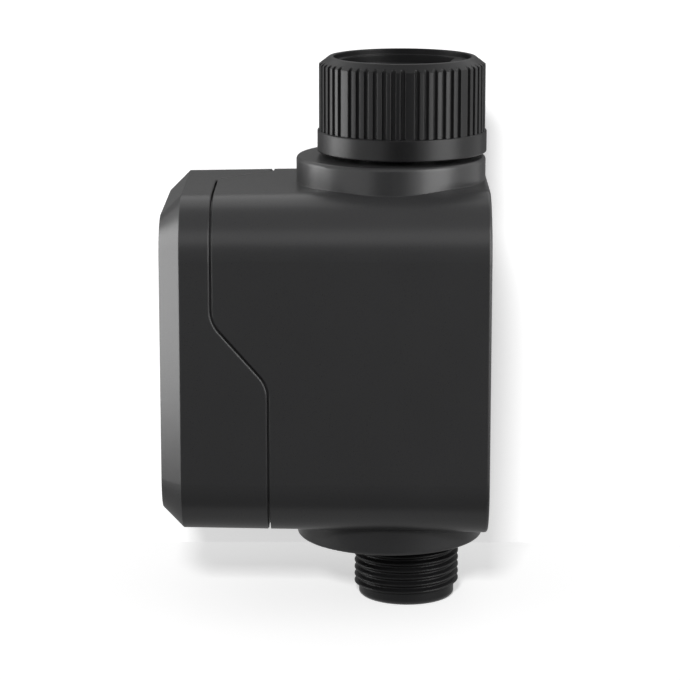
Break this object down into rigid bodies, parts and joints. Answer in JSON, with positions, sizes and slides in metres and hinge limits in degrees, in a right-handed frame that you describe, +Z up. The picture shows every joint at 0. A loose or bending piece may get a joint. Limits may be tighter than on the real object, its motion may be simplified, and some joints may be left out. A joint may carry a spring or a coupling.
{
  "type": "tap water timer",
  "caption": "Tap-mounted battery water timer: a deep rounded case with a fluted swivel nut above, a threaded hose spout below and a pull-off front cover.",
  "frame": {"origin": "centre of the swivel nut's mouth, where the tap goes in", "axes": "+Z up along the nut's axis towards the tap, -Y towards the front cover with the button, +X to the right of someone facing the front"},
  "size_m": [0.068, 0.0804, 0.137],
  "materials": {
    "housing": "satin dark grey moulded plastic",
    "fitting": "black glass-filled plastic",
    "rubber": "matt black rubber",
    "silicone": "translucent grey silicone",
    "washer": "flat grey rubber",
    "filter": "off-white moulded plastic",
    "acetal": "white acetal",
    "seat": "white low-friction plastic",
    "brass": "turned brass",
    "steel": "zinc plated steel",
    "inner_plastic": "plain dark moulded plastic",
    "can": "drawn steel can",
    "cells": "plastic sleeved cells",
    "contacts": "nickel plated spring steel",
    "board": "green solder mask",
    "chip": "black moulded package",
    "shield": "tinned steel",
    "socket": "natural nylon",
    "lead": "red insulation",
    "light": "clear plastic",
    "led": "small white package",
    "button": "soft-touch dark grey"
  },
  "bodies": {
    "case": {"rear_housing": "housing", "cover_seal": "silicone", "partition": "inner_plastic", "partition_gasket": "rubber", "partition_screws": "steel", "valve_screws": "steel", "inlet_tail": "fitting", "tail_oring": "rubber", "inlet_washer": "washer", "valve_body": "fitting", "upper_seat": "seat", "lower_seat": "seat", "gear_base": "inner_plastic", "gear_bridge": "inner_plastic", "gear_screws": "steel", "idler_pin": "steel", "motor_can": "can", "motor_cap": "chip", "motor_terminals": "brass", "motor_leads": "lead", "battery_holder": "inner_plastic", "battery_cells": "cells", "battery_contacts": "contacts", "holder_screws": "steel", "battery_leads": "lead", "control_board": "board", "board_screws": "steel", "radio_module": "board", "radio_shield": "shield", "board_chips": "chip", "lead_sockets": "socket", "switch_body": "chip", "status_led": "led"},
    "cover": {"front_cover": "housing", "button_seal": "silicone", "light_guide": "light"},
    "button": {"button_cap": "button"},
    "plunger": {"switch_plunger": "button"},
    "nut": {"swivel_nut": "fitting"},
    "filter": {"inlet_filter": "filter"},
    "valve": {"valve_ball": "acetal", "valve_stem": "brass", "stem_orings": "rubber", "output_gear": "acetal"},
    "idler": {"idler_gear": "acetal"},
    "pinion": {"motor_pinion": "brass", "motor_shaft": "steel"}
  },
  "joints": [
    {"name": "nut_swivel", "type": "hinge", "parent": "case", "child": "nut", "pos_m": [0, 0, -0.012], "axis": [0, 0, 1], "continuous": true},
    {"name": "filter_lift", "type": "slide", "parent": "case", "child": "filter", "axis": [0, 0, 1], "range_m": [0, 0.04]},
    {"name": "cover_slide", "type": "slide", "parent": "case", "child": "cover", "axis": [0, -1, 0], "range_m": [0, 0.07]},
    {"name": "button_press", "type": "slide", "parent": "cover", "child": "button", "axis": [0, 1, 0], "range_m": [0, 0.0005], "stiffness_N_per_m": 400, "springref_m": -0.0005},
    {"name": "plunger_press", "type": "slide", "parent": "case", "child": "plunger", "axis": [0, 1, 0], "range_m": [0, 0.0005]},
    {"name": "valve_turn", "type": "hinge", "parent": "case", "child": "valve", "pos_m": [0, -0.02, -0.0541], "axis": [0, 1, 0], "range_deg": [0, 90]},
    {"name": "idler_turn", "type": "hinge", "parent": "case", "child": "idler", "pos_m": [0.01462, -0.028, -0.06059], "axis": [0, 1, 0], "range_deg": [-270, 0]},
    {"name": "motor_turn", "type": "hinge", "parent": "case", "child": "pinion", "pos_m": [0.02, -0.03, -0.0481], "axis": [0, 1, 0], "range_deg": [0, 648]}
  ],
  "couplings": [
    {"joint": "plunger_press", "follows": "button_press", "ratio": 1},
    {"joint": "idler_turn", "follows": "valve_turn", "ratio": -3},
    {"joint": "motor_turn", "follows": "valve_turn", "ratio": 7.2}
  ]
}
